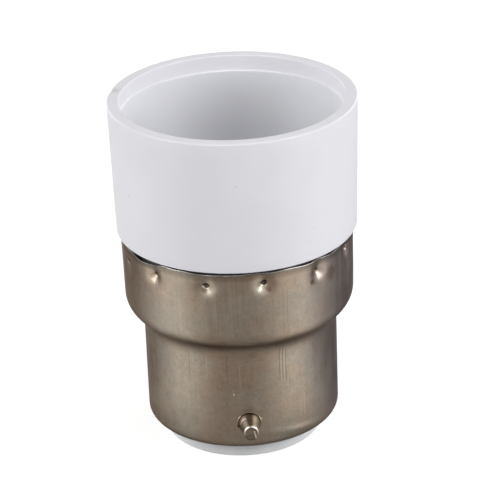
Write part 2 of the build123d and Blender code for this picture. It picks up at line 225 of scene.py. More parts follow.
# Rings of that edge from the outside in: shares of the hole's radius and of the edge's height
HOLE_RINGS = ((1.07, 0), (1.03, 1), (1, 0.6))

# White cup: foot, outer wall and rim
HEIGHT = 40.5
FOOT_Z = 25.31
FOOT_RADIUS = 13.53
CUP_RADIUS = 13.7
RIM_RADIUS = 13.81
RIM_INNER_RADIUS = 12.47
# Step in the rim, and the mouth down to its floor
STEP_Z = 38.65
MOUTH_RADIUS = 12.2
MOUTH_TOP_RADIUS = 12.22
MOUTH_LOW_RADIUS = 12.136
MOUTH_FLOOR_Z = 29.0
MOUTH_UNDER_Z = 27.5
# Tube that seats the screw shell, with the well under the shell
SEAT_LEAD_RADIUS = 8.0
SEAT_RADIUS = 7.4
SEAT_TOP_Z = 28.4
SEAT_Z = 14.9
WELL_RADIUS = 6.0
WELL_Z = 12.6
TUBE_RADIUS = 8.9
TUBE_BASE_Z = 10.8
# Spigot inside the collar, with the neck that the dimples lock into
SPIGOT_RADIUS = 12.6
SPIGOT_INNER_RADIUS = 11.0
SPIGOT_BASE_Z = 16.18
SPIGOT_TOP_Z = 22.37
NECK_RADIUS = 12.17
# Section from the middle of the underside round to the middle of the well: radius, z, round
CUP_OUTLINE = (
    (0, TUBE_BASE_Z, 0), (TUBE_RADIUS, TUBE_BASE_Z, 0), (TUBE_RADIUS, MOUTH_UNDER_Z, 0),
    (SPIGOT_INNER_RADIUS, MOUTH_UNDER_Z, 0), (SPIGOT_INNER_RADIUS, SPIGOT_BASE_Z, 0),
    (SPIGOT_RADIUS, SPIGOT_BASE_Z, 1.4), (SPIGOT_RADIUS, SPIGOT_TOP_Z, 0),
    (NECK_RADIUS, SPIGOT_TOP_Z, 0), (NECK_RADIUS, FOOT_Z, 0), (FOOT_RADIUS, FOOT_Z, 0.15),
    (RIM_RADIUS, HEIGHT, 0.2), (RIM_INNER_RADIUS, HEIGHT, 0.15), (RIM_INNER_RADIUS, STEP_Z, 0.05),
    (MOUTH_TOP_RADIUS, STEP_Z, 0.1), (MOUTH_LOW_RADIUS, MOUTH_FLOOR_Z, 0.8),
    (SEAT_LEAD_RADIUS, MOUTH_FLOOR_Z, 0.1), (SEAT_RADIUS, SEAT_TOP_Z, 0),
    (SEAT_RADIUS, SEAT_Z, 0), (WELL_RADIUS, SEAT_Z, 0), (WELL_RADIUS, WELL_Z, 0), (0, WELL_Z, 0),
)
# Nick in the rim, with the inner and outer size of the stain in it
NICK_ANGLE = -105.5
NICK_RADIUS = 13.7
NICK_SIZE = 0.5
NICK_DEPTH = 0.18
NICK_STRETCH = (1, 0.7, 1)
NICK_STAIN_RADIUS = 13.3
NICK_STAIN_SIZE = (0.25, 0.9)
# Painted shade in the gap under the foot: heights and radii where it starts and is full
SEAM_SHADE_Z = (FOOT_Z - 0.01, FOOT_Z - 0.04)
SEAM_SHADE_RADII = (11.5, 11.9)
# Radii between which painted shade darkens the plastic, into the mouth
MOUTH_SHADE_RADII = (12.4, 12.28)
# Dark specks in the plastic: angle, height, radius
SPECKS = (
    (-61.2, 32.1, 0.1), (32, 27.7, 0.12), (-2.5, 35.6, 0.03), (34.5, 29.2, 0.06), (75, 33, 0.09),
    (118, 29.5, 0.1), (160, 36.2, 0.08), (204, 31, 0.11), (251, 34.4, 0.08),
)
# The same inside the mouth
MOUTH_SPECKS = (
    (-154.7, 36.5, 0.05), (120.8, 36.4, 0.08), (147.1, 32.6, 0.09), (154.9, 33.3, 0.05), (40, 35, 0.07),
)
SPECK_BLUR = 0.12

# Screw shell, whose thread runs out at both ends
SHELL_SHEET = 0.3
THREAD_CREST = 6.2
THREAD_DEPTH = 0.8
THREAD_PITCH = 2.82
THREAD_BASE_Z = 15.99
THREAD_TOP_Z = 28.12
THREAD_RUNOUT = 1.2
# Narrow foot under the thread and the flared mouth over it: radius, z
SHELL_FOOT = ((5.6, 14.95), (5.62, 15.12), (5.7, 15.3), (5.83, 15.47), (6.0, 15.64), (6.12, 15.8))
SHELL_FLARE = ((6.24, 28.32), (6.36, 28.52), (6.54, 28.7), (6.7, 28.83), (6.86, 28.95))
# Strap from the foot down to the rivet, along its upper face: x, z, and the way outwards through the sheet
STRAP = (
    (2.7, 12.95, 0, -1), (4.4, 12.95, 0, -1), (5.2, 12.95, 0.1, -1), (5.42, 13.0, 0.4, -0.92),
    (5.56, 13.15, 0.92, -0.4), (5.6, 13.4, 1, 0), (5.6, 14.98, 1, 0),
)
STRAP_HALF = 2
# Distances from the axis where the strap is flat, and where it is as round as the shell's foot
STRAP_ROUNDING = (2.6, 5.6)

# Solder domes in the eyelets of the base contacts
CONTACT_OFFSET = 4.6
DOME_RADIUS = 1.28
DOME_LIMIT = 1.4
DOME_TOP_Z = 0.3
DOME_HEIGHT = 0.24
DOME_TILT = 0.04
DOME_LOBES = (2, 3, 5)
DOME_LOBE_SIZE = (0.02, 0.05)

# Columns of the cap's mesh within so many degrees of a dimple and between dimples. Of the outside's rows,
# the inside has one in UPPER_STEP of the upper ones and one in LOWER_STEP of the rest
DIMPLE_SPAN = 3.0
DIMPLE_COLUMNS = 20
PLAIN_COLUMNS = 18
UPPER_ROWS = 50
UPPER_STEP = 4
LOWER_STEP = 5
# Rows of the collar's wall: the height that they go up to, how many
COLLAR_ROWS = (
    (DIMPLE_Z - 2.6, 5), (DIMPLE_Z - 0.7, 14), (DIMPLE_Z + 0.9, 28), (COLLAR_TOP_Z - COLLAR_EDGE, 4),
)
# Sides of the turned meshes, and the longest steps along their outlines
CUP_SIDES = 288
CUP_STEP = 1.6
PIN_SIDES = 72
PIN_STEP = 0.05
HOLE_SIDES = 48
SHELL_SIDES = 144
SHELL_ROWS = 132
STRAP_COLUMNS = 13
DOME_SIDES = 48
DOME_ROWS = 12
# Steps between rows in the uv maps of a pin hole and of the strap
HOLE_UV_STEP = 0.1
STRAP_UV_STEP = 0.4


# Meshes


def linked(name, data):
    """A new object of that data, in the scene."""
    made = bpy.data.objects.new(name, data)
    scene.collection.objects.link(made)
    return made


def ring_point(radius, angle, z):
    """A point at that radius, angle and height."""
    return radius * sin(radians(angle)), -radius * cos(radians(angle)), z


def smooth(low, high, value):
    """0 at low, 1 at high and an eased step between."""
    t = np.clip((value - low) / (high - low), 0, 1)
    return t * t * (3 - 2 * t)


def bell(value):
    """1 at 0, falling away evenly on both sides."""
    return np.exp(-(value**2))


def wrapped(degrees):
    """The same angles between -180 and 180."""
    return (degrees + 180) % 360 - 180


def rounded(corners, steps=6):
    """A profile of (radius, z) through (radius, z, round) corners, each one rounded by an arc."""
    count = len(corners)
    points = []
    for i, (r, z, size) in enumerate(corners):
        here = Vector((r, z))
        if not size:
            points.append((r, z))
            continue
        back = (Vector(corners[i - 1][:2]) - here).normalized()
        on = (Vector(corners[(i + 1) % count][:2]) - here).normalized()
        half = back.angle(on) / 2
        reach = size / tan(half)
        centre = here + (back + on).normalized() * (size / sin(half))
        start = here + back * reach - centre
        turn = start.angle_signed(here + on * reach - centre)
        for k in range(steps + 1):
            spoke = start.copy()
            spoke.rotate(Matrix.Rotation(-turn * k / steps, 2))
            points.append(tuple(centre + spoke))
    return np.array(points)


def divided(profile, longest):
    """The same profile with its long runs cut into runs no longer than that."""
    points = [profile[0]]
    for start, end in zip(profile, profile[1:]):
        count = int(np.hypot(*(end - start)) // longest) + 1
        points += [start + (end - start) * k / count for k in range(1, count + 1)]
    return np.array(points)


class Surface:
    """Patches of quads that become one mesh."""

    def __init__(self):
        self.points, self.faces, self.uvs, self.count = [], [], [], 0

    def patch(self, points, uv, wrap_rows=False, wrap_columns=True, keep=None):
        """Add a grid of points[row, column] with its quads, or those to keep, and return the surface.

        uv has one more row or column than points where the grid wraps.
        """
        rows, columns = points.shape[:2]
        index = np.arange(rows * columns).reshape(rows, columns) + self.count
        if wrap_rows:
            index = np.vstack([index, index[:1]])
        if wrap_columns:
            index = np.hstack([index, index[:, :1]])
        for grid, kept in ((index, self.faces), (uv, self.uvs)):
            quads = np.stack([grid[:-1, :-1], grid[:-1, 1:], grid[1:, 1:], grid[1:, :-1]], axis=2)
            kept.append(quads.reshape(-1, *quads.shape[2:]) if keep is None else quads[keep])
        self.points.append(points.reshape(-1, 3))
        self.count += rows * columns
        return self

    def piece(self, name, material, sharp=40):
        """Make the mesh object, smooth but for edges sharper than that angle, riding on the adapter."""
        mesh = bpy.data.meshes.new(name)
        mesh.from_pydata((np.vstack(self.points) * MM).tolist(), [], np.vstack(self.faces).tolist())
        layer = mesh.uv_layers.new(name="surface_mm")
        layer.data.foreach_set("uv", np.vstack(self.uvs).reshape(-1).astype(np.float32))
        mesh.polygons.foreach_set("use_smooth", np.ones(len(mesh.polygons), bool))
        mesh.set_sharp_from_angle(angle=radians(sharp))
        mesh.materials.append(material)
        made = linked(name, mesh)
        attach(made, ADAPTER)
        return made


def turned(profile, angles, uv_radius, closed=False):
    """Points and uv of a profile turned round the axis at those angles in radians, over a full turn."""
    r, z = profile[:, :1], profile[:, 1:]
    points = np.stack([r * np.sin(angles), -r * np.cos(angles), z + 0 * angles], axis=2)
    ends = np.vstack([profile, profile[:1]]) if closed else profile
    run = np.concatenate([[0], np.cumsum(np.hypot(*np.diff(ends, axis=0).T))])
    across = np.append(angles, angles[0] + 2 * pi) * uv_radius
    return points, np.stack(np.meshgrid(across, run), axis=2)


def full_turn(count):
    """That many even angles in radians, from the back of the adapter round to it again."""
    return np.linspace(-pi, pi, count, endpoint=False)


# Materials

# Scale of the noise that makes a spot's edge ragged
RAGGED_SCALE = 2.2


class Look:
    """A procedural material, with short calls to add and join its nodes."""

    def __init__(self, name, **settings):
        self.material = bpy.data.materials.new(name)
        self.material.use_nodes = True
        self.tree = self.material.node_tree
        self.shader = self.tree.nodes["Principled BSDF"]
        self.finish(**settings)

    def put(self, socket, value):
        """Join an output to a socket, or set the socket's own value."""
        if isinstance(value, bpy.types.NodeSocket):
            self.tree.links.new(value, socket)
        elif socket.type == "RGBA":
            socket.default_value = (*value, 1)
        else:
            socket.default_value = value

    def add(self, kind, output, settings=(), **inputs):
        """Add a node and return one of its outputs."""
        node = self.tree.nodes.new("ShaderNode" + kind)
        for name, value in dict(settings).items():
            setattr(node, name, value)
        for name, value in inputs.items():
            self.put(node.inputs[name.replace("_", " ")], value)
        return node.outputs[output]

    def math(self, operation, first, second=0.0):
        node = self.tree.nodes.new("ShaderNodeMath")
        node.operation = operation
        self.put(node.inputs[0], first)
        self.put(node.inputs[1], second)
        return node.outputs[0]

    def times(self, first, second):
        return self.math("MULTIPLY", first, second)

    def hypot(self, first, second):
        """Length of the two sides' diagonal."""
        return self.math("SQRT", self.math("ADD", self.times(first, first), self.times(second, second)))

    def span(self, value, low, high, to_low=0.0, to_high=1.0):
        """Eased step of a value from low to high."""
        return self.add(
            "MapRange", "Result", {"interpolation_type": "SMOOTHSTEP"}, Value=value,
            From_Min=low, From_Max=high, To_Min=to_low, To_Max=to_high,
        )

    def mix(self, factor, first, second, blend="MIX"):
        """First colour where the factor is 0, second where it is 1, or the blend of the two."""
        node = self.tree.nodes.new("ShaderNodeMix")
        node.data_type = "RGBA"
        node.blend_type = blend
        # Inputs 6 and 7 and output 2 are the colours
        for socket, value in ((0, factor), (6, first), (7, second)):
            self.put(node.inputs[socket], value)
        return node.outputs[2]

    def ramp(self, value, stops):
        """Colour of a value between 0 and 1, from (position, colour) stops."""
        made = self.add("ValToRGB", "Color", Fac=value)
        elements = made.node.color_ramp.elements
        while len(elements) < len(stops):
            elements.new(0.5)
        for element, (position, colour) in zip(elements, stops):
            element.position = position
            element.color = (*colour, 1)
        return made

    def place(self):
        """Place in space, in millimetres."""
        source = self.add("TexCoord", "Object")
        return self.add("Mapping", "Vector", Vector=source, Scale=(1 / MM, 1 / MM, 1 / MM))

    def along(self, across_scale=1, along_scale=1):
        """Surface coordinates from the uv map, in millimetres times a scale each way."""
        source = self.add("TexCoord", "UV")
        return self.add("Mapping", "Vector", Vector=source, Scale=(across_scale, along_scale, 1))

    def axes(self, vector):
        """The three parts of a vector."""
        node = self.add("SeparateXYZ", "X", Vector=vector).node
        return [node.outputs[axis] for axis in "XYZ"]

    def noise(self, vector, scale, detail=3.0, rough=0.5):
        return self.add("TexNoise", "Fac", Vector=vector, Scale=scale, Detail=detail, Roughness=rough)

    def away(self, place, point):
        """Distance from a point."""
        distance = self.add("VectorMath", "Value", {"operation": "DISTANCE"}, Vector=place)
        distance.node.inputs[1].default_value = point
        return distance

    def near(self, place, point, inner, outer, strength=1.0):
        """The strength within the inner distance of a point, and 0 beyond the outer one."""
        return self.span(self.away(place, point), outer, inner, 0, strength)

    def spot(self, place, point, inner, outer, strength=1.0):
        """The same with a ragged edge."""
        ragged = self.times(self.math("SUBTRACT", self.noise(place, RAGGED_SCALE), 0.5), outer)
        away = self.math("ADD", self.away(place, point), ragged)
        return self.span(away, outer, inner, 0, strength)

    def bump(self, height, distance, under=None):
        """Normal of a height field whose full range is that many millimetres."""
        inputs = {"Height": height, "Distance": distance * MM}
        if under is not None:
            inputs["Normal"] = under
        return self.add("Bump", "Normal", **inputs)

    def finish(self, **sockets):
        """Set or join sockets of the shader, and return the material."""
        for name, value in sockets.items():
            self.put(self.shader.inputs[name.replace("_", " ")], value)
        return self.material


def white_plastic():
    """Half-gloss moulded white, wavy and specked, darker in the mouth by painted shade, with a nick and
    painted shade in the seam under the foot.
    """
    look = Look("white_plastic", Roughness=0.42, IOR=1.5)
    place = look.place()
    x, y, z = look.axes(place)
    reach = look.hypot(x, y)
    cloudy = look.span(look.noise(place, 0.12, 2), 0.35, 0.65)
    white = look.mix(cloudy, (0.785, 0.78, 0.825), (0.81, 0.805, 0.845))
    for radius, table in ((CUP_RADIUS, SPECKS), (MOUTH_RADIUS, MOUTH_SPECKS)):
        for angle, height, size in table:
            speck = look.spot(place, ring_point(radius, angle, height), size, size + SPECK_BLUR, 0.3)
            white = look.mix(speck, white, (0.33, 0.33, 0.35))
    nick = look.spot(place, ring_point(NICK_STAIN_RADIUS, NICK_ANGLE, HEIGHT), *NICK_STAIN_SIZE, 0.35)
    white = look.mix(nick, white, (0.4, 0.38, 0.33))
    # Painted shade inside the mouth
    white = look.mix(look.span(reach, *MOUTH_SHADE_RADII), white, (0.738, 0.743, 0.775))
    # Painted shade in the seam under the foot
    seam_shade = look.times(look.span(z, *SEAM_SHADE_Z), look.span(reach, *SEAM_SHADE_RADII))
    white = look.mix(seam_shade, white, (0.12, 0.11, 0.11))
    fine = look.bump(look.noise(place, 3.5, 4), 0.006)
    wavy = look.bump(look.noise(place, 0.22, 1), 0.03, fine)
    return look.finish(Base_Color=white, Normal=wavy)


def lines(look, across, run, table):
    """Fine upright lines on the cap, each faded out at both ends, from a table of them."""
    total = 0
    for angle, *ends, width, strength in table:
        low, high = (end + SHEET_START for end in ends)
        middle = radians(wrapped(angle)) * CAP_RADIUS
        off = look.math("ABSOLUTE", look.math("SUBTRACT", across, middle))
        line = look.times(look.span(off, width, width * LINE_CORE), look.span(run, low, low + LINE_FADE_LOW))
        line = look.times(line, look.span(run, high, high - LINE_FADE_HIGH, 0, strength))
        total = look.math("ADD", total, line)
    return total


def dimple_places():
    """Each dimple's angle, z, lean and depth, where the punch came down."""
    for k, (right, up, lean, deep) in enumerate(DIMPLE_DRIFT):
        angle = DIMPLE_ANGLE + 360 * k / DIMPLE_COUNT + right / radians(1) / COLLAR_RADIUS
        yield angle, DIMPLE_Z + up, lean, deep


def cap_marks(look, place, tint):
    """Stains, the marks round both pins with their painted shade, the fleck and the painted shade in the
    craters, over the plating's colour.
    """
    for angle, z, inner, outer, strength in STAINS:
        stain_and_shade = look.spot(place, ring_point(COLLAR_RADIUS, angle, z), inner, outer, strength)
        tint = look.mix(stain_and_shade, tint, (0.16, 0.095, 0.06))
    # Painted shade over the top of each pin hole, painted shadow at its left edge, and a rubbed place
    for facing in FACINGS:
        for right, up, inner, outer, strength, colour in PIN_MARKS:
            point = (-facing * right, facing * CAP_RADIUS, PIN_Z + up)
            tint = look.mix(look.spot(place, point, inner, outer, strength), tint, colour)
    fleck = look.near(place, ring_point(CAP_RADIUS, *FLECK), *FLECK_SIZE)
    tint = look.mix(fleck, tint, (0.85, 0.83, 0.8))
    # Painted shade in the bottom of each crater
    above, *shade = CRATER_SHADE
    for angle, z, _, deep in dimple_places():
        depth = DISH_DEPTH * deep + CRATER_DEPTH / 2
        crater = look.near(place, ring_point(COLLAR_RADIUS - depth, angle, z + above), *shade)
        tint = look.mix(crater, tint, (0.07, 0.055, 0.045))
    return tint


def collar_edge(look, run, tint):
    """A dark band under the collar's edge, and bare metal on the edge, over the plating's colour."""
    path = sheet_path()[:, :2]
    length = np.hypot(*np.diff(path, axis=0).T).sum()
    band, edge = ([length - end for end in ends] for ends in (DARK_BAND, BARE_EDGE))
    shiny = look.span(look.noise(look.along(0.35, 0.001), 1.0, 4, 0.7), 0.42, 0.58)
    bare = look.mix(shiny, (0.13, 0.117, 0.105), (0.2, 0.19, 0.18))
    tint = look.mix(look.span(run, *band, 0, 0.5), tint, (0.15, 0.125, 0.1))
    return look.mix(look.span(run, *edge), tint, bare)


def nickel_plate():
    """Drawn nickel-plated sheet, with streaks along the draw, cloudy tarnish, marks, painted shade in the
    crease and the craters, and a bare edge.
    """
    look = Look("nickel_plate", Metallic=1.0, Specular_Tint=(0.55, 0.5, 0.5))
    place = look.place()
    x = look.axes(place)[0]
    across, run, _ = look.axes(look.along())
    streak = look.noise(look.along(5.0, 0.07), 1.0, 5, 0.62)
    cloud = look.noise(place, 0.2, 4, 0.6)
    patterns = {
        "streak": streak,
        "broad": look.noise(look.along(0.55, 0.03), 1.0, 3),
        "blotch": look.noise(place, 0.75, 5, 0.65),
        "grain": look.noise(place, 2.6, 4, 0.75),
    }
    tint = look.mix(look.span(cloud, 0.35, 0.65), (0.37, 0.3, 0.238), (0.33, 0.303, 0.255))
    for pattern, start, full, strength, colour in TARNISH:
        tint = look.mix(look.span(patterns[pattern], start, full, 0, strength), tint, colour)
    tint = look.mix(lines(look, across, run, SCRATCHES), tint, (0.11, 0.09, 0.07))
    tint = look.mix(lines(look, across, run, GLEAMS), tint, (0.62, 0.58, 0.53))
    tint = look.mix(look.span(x, *COOL_SIDE, 0, 0.6), tint, (0.335, 0.285, 0.285))
    # Painted shade in the crease under the shoulder
    crease = look.math("ABSOLUTE", look.math("SUBTRACT", run, SHEET_START + CREASE_Z))
    tint = look.mix(look.span(crease, *PAINTED_CREASE_SHADE, 0, 0.35), tint, (0.13, 0.105, 0.08))
    tint = cap_marks(look, place, tint)
    tint = collar_edge(look, run, tint)
    rough = look.span(streak, 0.3, 0.7, 0.32, 0.42)
    rough = look.math("ADD", rough, look.span(cloud, 0.3, 0.7, -0.03, 0.05))
    fine = look.bump(streak, 0.004)
    sheet = look.bump(look.noise(place, 0.3, 2), 0.015, fine)
    return look.finish(Base_Color=tint, Roughness=rough, Normal=sheet)


def plating(look, place, colour, worn, roughness, grain):
    """Colour with worn patches, roughness between two levels and a fine grain."""
    tint = look.mix(look.span(look.noise(place, 0.9, 4, 0.6), 0.4, 0.72), colour, worn)
    rough = look.span(look.noise(place, 2.5, 3), 0.3, 0.7, *roughness)
    return tint, rough, look.bump(look.noise(place, 9.0, 4), grain)


def plated(name, colour, worn, roughness, grain):
    """Small metal piece."""
    look = Look(name, Metallic=1.0)
    levels = roughness - 0.06, roughness + 0.08
    tint, rough, fine = plating(look, look.place(), colour, worn, levels, grain)
    return look.finish(Base_Color=tint, Roughness=rough, Normal=fine)


def drooped(rise, tip):
    """A pin's height above its axis, with the lower half drawn out downwards towards the tip."""
    return rise * np.where(rise < 0, 1 + PIN_DROOP * tip, 1)


def highlight_points():
    """Points of painted highlight along a pin's burr and in an arc near its root, from outside: right,
    distance from the axis, up.
    """
    for part in np.linspace(0, 1, BURR_SPOTS):
        rise = drooped(BURR_RISE - BURR_DOWN * part, 1) - PIN_SAG
        yield BURR_START + BURR_ACROSS * part + PIN_LEAN, PIN_TIP - END_SUNK, rise
    for angle in GLINT_ANGLES:
        yield GLINT_RADIUS * cos(radians(angle)), GLINT_OUT, GLINT_RADIUS * sin(radians(angle))


def pin_plate():
    """Plated pin, with a painted dark reflection along its top, painted shade on one flank, at its root and
    under its end, and painted highlights round the upper half of its end, along its burr and near its root.
    """
    look = Look("pin_plate", Metallic=1.0)
    place = look.place()
    x, y, z = look.axes(place)
    out = look.math("ABSOLUTE", y)
    up = look.math("SUBTRACT", z, PIN_Z)
    aside = look.math("ABSOLUTE", x)
    tint, rough, fine = plating(look, place, (0.34, 0.3, 0.255), (0.3, 0.25, 0.19), (0.24, 0.36), 0.006)
    # Painted dark reflection along the top of the pin
    stain_and_shade = look.times(look.span(aside, *TOP_REFLECTION_ASIDE), look.span(up, *TOP_REFLECTION_UP, 0, 0.75))
    tint = look.mix(stain_and_shade, tint, (0.11, 0.08, 0.055))
    # Painted shade on the flank towards -X
    tint = look.mix(look.span(x, *FLANK_SHADE, 0, 0.6), tint, (0.19, 0.16, 0.13))
    # Painted highlight on the rim of the end, round its own middle, in two parts with a duller gap between
    left = look.math("ADD", look.times(x, look.math("SIGN", y)), PIN_LEAN)
    reach = look.hypot(left, look.math("ADD", up, PIN_SAG))
    rim_highlight = look.times(look.span(out, *RIM_ALONG), look.span(reach, *RIM_RADII))
    rim_highlight = look.times(rim_highlight, look.span(up, *RIM_UP))
    highlight = look.times(rim_highlight, look.span(aside, *RIM_GAP, RIM_GAP_LEVEL))
    # Painted highlights along the burr and in the arc near the root
    for facing in FACINGS:
        for right, far, rise in highlight_points():
            point = (-facing * right, facing * far, PIN_Z + rise)
            highlight = look.math("MAXIMUM", highlight, look.near(place, point, *HIGHLIGHT_SIZE))
    # Painted shade on the root, where the pin meets the cap
    tint = look.mix(look.span(out, *ROOT_SHADE_ALONG, 0, 0.8), tint, (0.1, 0.065, 0.04))
    # Painted shade on the underside of the end
    under = look.times(look.span(out, *UNDER_SHADE_ALONG), look.span(up, *UNDER_SHADE_UP))
    tint = look.mix(under, tint, (0.19, 0.165, 0.14))
    # Painted highlights on the rim, along the burr and in the arc near the root
    tint = look.mix(highlight, tint, (0.66, 0.63, 0.58))
    rough = look.math("ADD", rough, look.times(highlight, 0.12))
    return look.finish(Base_Color=tint, Roughness=rough, Normal=fine)


def moulded(name, colour, dull, roughness):
    """Matt moulded piece with a cloudy colour and a fine skin."""
    look = Look(name, IOR=1.45)
    place = look.place()
    tint = look.mix(look.span(look.noise(place, 0.35, 4), 0.35, 0.7), colour, dull)
    rough = look.span(look.noise(place, 1.2, 3), 0.3, 0.7, roughness - 0.05, roughness + 0.07)
    fine = look.bump(look.noise(place, 5.0, 4), 0.012)
    wavy = look.bump(look.noise(place, 0.5, 2), 0.03, fine)
    return look.finish(Base_Color=tint, Roughness=rough, Normal=wavy)


# Drawn cap: an even sheet, with its dimples, the dished metal round them and an uneven top edge


def sheet_path():
    """The cap's outside from its lip to its top edge: radius, z, and the way outwards as two shares."""
    crease = SHOULDER_STEP / (1 - cos(radians(SHOULDER_TURN))) - SHOULDER_RADIUS
    path = []

    def line(start, end, count):
        heading = (Vector(end) - Vector(start)).normalized()
        for t in np.linspace(0, 1, count, endpoint=False):
            path.append((*Vector(start).lerp(Vector(end), t), heading.y, -heading.x))

    def arc(start, heading, radius, turn, count):
        """Turn left by a positive angle and right by a negative one, and return the end and its heading."""
        side = 1 if turn > 0 else -1
        centre = Vector(start) + side * radius * Vector((-sin(heading), cos(heading)))
        for t in np.linspace(0, 1, count + 1):
            now = heading + radians(turn) * t
            end = centre + side * radius * Vector((sin(now), -cos(now)))
            path.append((*end, sin(now), -cos(now)))
        path.pop()
        return end, now

    corner = (CAP_RADIUS - CAP_CORNER, CAP_BASE_Z)
    shoulder = (CAP_RADIUS, SHOULDER_Z)
    line((LIP_RADIUS, CAP_BASE_Z), corner, count=3)
    end, heading = arc(corner, 0, CAP_CORNER, 90, count=9)
    line(end, shoulder, count=34)
    end, heading = arc(shoulder, heading, crease, -SHOULDER_TURN, count=10)
    end, heading = arc(end, heading, SHOULDER_RADIUS, SHOULDER_TURN - COLLAR_FLARE, count=14)
    # The collar's wall, with its rows closest together at the dimples
    slope = Vector((tan(radians(COLLAR_FLARE)), 1))
    start = end
    for level, count in COLLAR_ROWS:
        stop = end + slope * (level - end.y)
        line(start, stop, count)
        start = stop
    arc(start, heading, COLLAR_EDGE, COLLAR_EDGE_TURN, count=3)
    return np.array(path)


def dimple_columns():
    """Angles in radians round the cap, close together at each dimple and wider apart between them."""
    pitch = 2 * pi / DIMPLE_COUNT
    near = radians(DIMPLE_SPAN)
    sector = np.concatenate([
        np.linspace(-near, near, DIMPLE_COLUMNS, endpoint=False),
        np.linspace(near, pitch - near, PLAIN_COLUMNS, endpoint=False),
    ])
    first = radians(DIMPLE_ANGLE) - pitch * (DIMPLE_COUNT // 2)
    return np.concatenate([sector + first + pitch * k for k in range(DIMPLE_COUNT)])


def punched(angles, z):
    """How far the collar is pushed in at those places, and how far its top edge has moved up."""
    rng = np.random.default_rng(PUNCH_SEED)
    inward = np.zeros(np.broadcast(angles, z).shape)
    for angle, dimple_z, lean, deep in dimple_places():
        oval, oval_turn = rng.uniform(-1, 1, 2)
        across = COLLAR_RADIUS * np.radians(wrapped(np.degrees(angles) - angle))
        up = z - dimple_z
        turn = np.arctan2(up, across)
        uneven = 1 + CRATER_OVAL * oval * np.cos(2 * turn + oval_turn) + CRATER_LOBES * np.cos(3 * turn)
        crater = 1 - smooth(CRATER_FLAT, CRATER_RADIUS, np.hypot(across, up) * uneven)
        dish = bell(np.hypot(across - lean, up + DISH_DROP) / DISH_RADIUS)
        inward += DISH_DEPTH * deep * dish + CRATER_DEPTH * min(deep, 1) * crater
    near_edge = smooth(*WALL_WAVES_Z, z)
    for count, size, start in WALL_WAVES:
        inward = inward + size * near_edge * np.sin(count * angles + start)
    lift = sum(size * np.sin(count * angles + start) for count, size, start in EDGE_WAVES)
    for angle, width, height in EDGE_LIFTS:
        lift = lift + height * bell(wrapped(np.degrees(angles) - angle) / width)
    return inward, lift * smooth(EDGE_WAVES_Z, COLLAR_TOP_Z, z)


def low_ridge(angles, z):
    """How far the raised line stands out at those places."""
    off = wrapped(np.degrees(angles) - RIDGE_ANGLE)
    above = z - RIDGE_Z + RIDGE_FALL * off
    return RIDGE_RISE * bell(off / RIDGE_SPREAD) * bell(above / RIDGE_WIDTH)


def cap_shell(material):
    """The whole cap, with holes for both pins."""
    outside = sheet_path()
    rows = np.r_[0:UPPER_ROWS:UPPER_STEP, UPPER_ROWS:len(outside):LOWER_STEP]
    inside = np.vstack([outside[::-1][rows], outside[:1]])
    profile = np.vstack([outside[:, :2], inside[:, :2] - CAP_SHEET * inside[:, 2:]])
    angles = dimple_columns()
    points, uv = turned(profile, angles, CAP_RADIUS, closed=True)
    levels = profile[:, 1:]
    inward, lift = punched(angles, levels)
    inward *= smooth(*UNEVEN_Z, levels)
    scale = 1 + (low_ridge(angles, levels) - inward) / profile[:, :1]
    points[..., :2] *= scale[..., None]
    points[..., 2] += lift
    # Corners inside a pin hole move out to its edge, and quads wholly inside it are left out
    x, y, z = np.moveaxis(points, 2, 0)
    reach = np.hypot(x, y)
    off = np.hypot(x, (z - PIN_Z) / np.where(z > PIN_Z, PIN_HOLE_WEAR, 1))
    inner = (off < PIN_HOLE) & (reach > LIP_RADIUS)
    grow = np.where(inner, PIN_HOLE / np.maximum(off, 1e-6), 1)
    x, z = x * grow, PIN_Z + (z - PIN_Z) * grow
    points = np.stack([x, np.sign(y) * np.sqrt(np.maximum(reach**2 - x**2, 0)), z], axis=2)
    grid = np.pad(inner, ((0, 1), (0, 1)), mode="wrap")
    keep = ~(grid[:-1, :-1] & grid[:-1, 1:] & grid[1:, 1:] & grid[1:, :-1])
    surface = Surface().patch(points, uv, wrap_rows=True, keep=keep)
    for facing in FACINGS:
        surface.patch(*hole_edge(facing))
    made = surface.piece("cap_shell_drawn", material)
    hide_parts("cap_shell")


def hole_edge(facing):
    """Points and uv of a pin hole's wall, worn upwards, with the ragged burr round its edge."""
    turn = full_turn(HOLE_SIDES)
    burr = HOLE_EDGE + sum(height * bell((turn - middle) / width) for middle, width, height in HOLE_BURRS)
    edge = [(wide, share * burr) for wide, share in HOLE_RINGS]
    rings = []
    for wide, rise in (*edge, (1, -CAP_SHEET)):
        x, z = wide * PIN_HOLE * np.cos(turn), wide * PIN_HOLE * np.sin(turn)
        z = z * np.where(z > 0, PIN_HOLE_WEAR, 1)
        y = np.sqrt((CAP_RADIUS + rise) ** 2 - x**2)
        rings.append(np.stack([-facing * x, facing * y, PIN_Z + z], axis=1))
    uv = np.stack(np.meshgrid(np.append(turn, pi), np.arange(len(rings)) * HOLE_UV_STEP), axis=2)
    return np.stack(rings), uv


# White cup, with a nick in its rim


def socket_body(material):
    """The whole moulding, with the spigot and the tube that the outside hides."""
    profile = divided(rounded(CUP_OUTLINE), CUP_STEP)
    points, uv = turned(profile, full_turn(CUP_SIDES), CUP_RADIUS)
    nick = np.array(ring_point(NICK_RADIUS, NICK_ANGLE, HEIGHT))
    gap = np.linalg.norm((points - nick) * NICK_STRETCH, axis=2)
    points[..., 2] -= NICK_DEPTH * bell(gap / NICK_SIZE)
    made = Surface().patch(points, uv).piece("socket_body_moulded", material, sharp=50)
    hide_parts("socket_body")


# Pins, drawn in towards a flat tip


